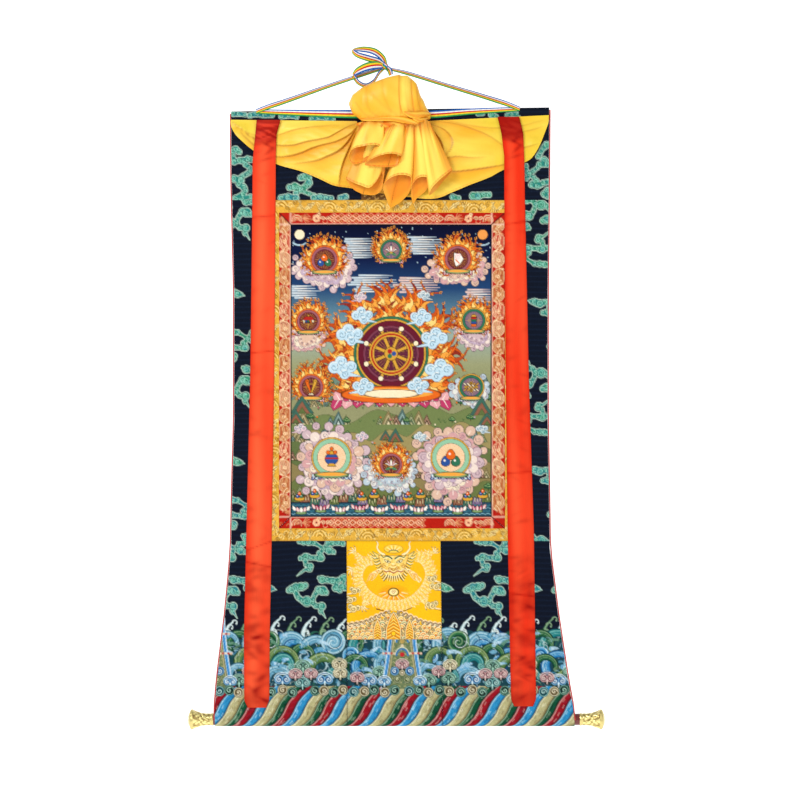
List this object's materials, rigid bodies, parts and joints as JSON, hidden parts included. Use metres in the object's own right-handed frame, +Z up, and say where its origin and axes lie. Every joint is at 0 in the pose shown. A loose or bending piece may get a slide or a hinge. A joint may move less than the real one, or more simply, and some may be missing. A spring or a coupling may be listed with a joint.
{
  "type": "thangka scroll painting with its hanging tape, top slat and bottom roller",
  "caption": "Hanging scroll: painted cloth in red and gold frames on navy brocade, with long red ribbons, a gathered yellow silk cover, a striped hanging tape and a roller with brass ends.",
  "frame": {"origin": "the hang point, where the striped tape is highest and a wall hook holds it", "axes": "+Z up, the painted face looks along -Y, the wall is on the +Y side, +X to the viewer's right"},
  "size_m": [0.9388, 0.0952, 1.5394],
  "materials": {
    "navy_brocade": "woven silk brocade with teal clouds, waves and slanting stripes",
    "yellow_brocade": "golden yellow brocade with a paler woven dragon",
    "gold_brocade": "gold brocade with tone-on-tone flowers, soft metallic sheen",
    "red_brocade": "red brocade with pale gold scrolling flowers",
    "painted_cloth": "matt mineral paint on fine cotton",
    "red_piping": "corded silk edge",
    "red_satin": "orange-red satin ribbon",
    "yellow_silk": "glossy thin yellow silk with a stitched orange hem",
    "striped_tape": "flat woven tape in five colour stripes",
    "slat_wood": "plain wooden slat",
    "roller_lacquer": "dark red lacquered wood",
    "brass": "embossed polished brass"
  },
  "bodies": {
    "root": {"top_panel": "navy_brocade", "side_panel_left": "navy_brocade", "side_panel_right": "navy_brocade", "bottom_panel_left": "navy_brocade", "bottom_panel_centre": "navy_brocade", "bottom_panel_right": "navy_brocade", "dragon_patch": "yellow_brocade", "gold_frame_top": "gold_brocade", "gold_frame_bottom": "gold_brocade", "gold_frame_left": "gold_brocade", "gold_frame_right": "gold_brocade", "red_frame_top": "red_brocade", "red_frame_bottom": "red_brocade", "red_frame_left": "red_brocade", "red_frame_right": "red_brocade", "painting": "painted_cloth", "piping_left": "red_piping", "piping_right": "red_piping", "ribbon_left": "red_satin", "ribbon_right": "red_satin", "veil": "yellow_silk", "hanger_tape": "striped_tape", "top_slat": "slat_wood", "bottom_roller": "roller_lacquer", "finial_left": "brass", "finial_right": "brass"}
  },
  "joints": []
}
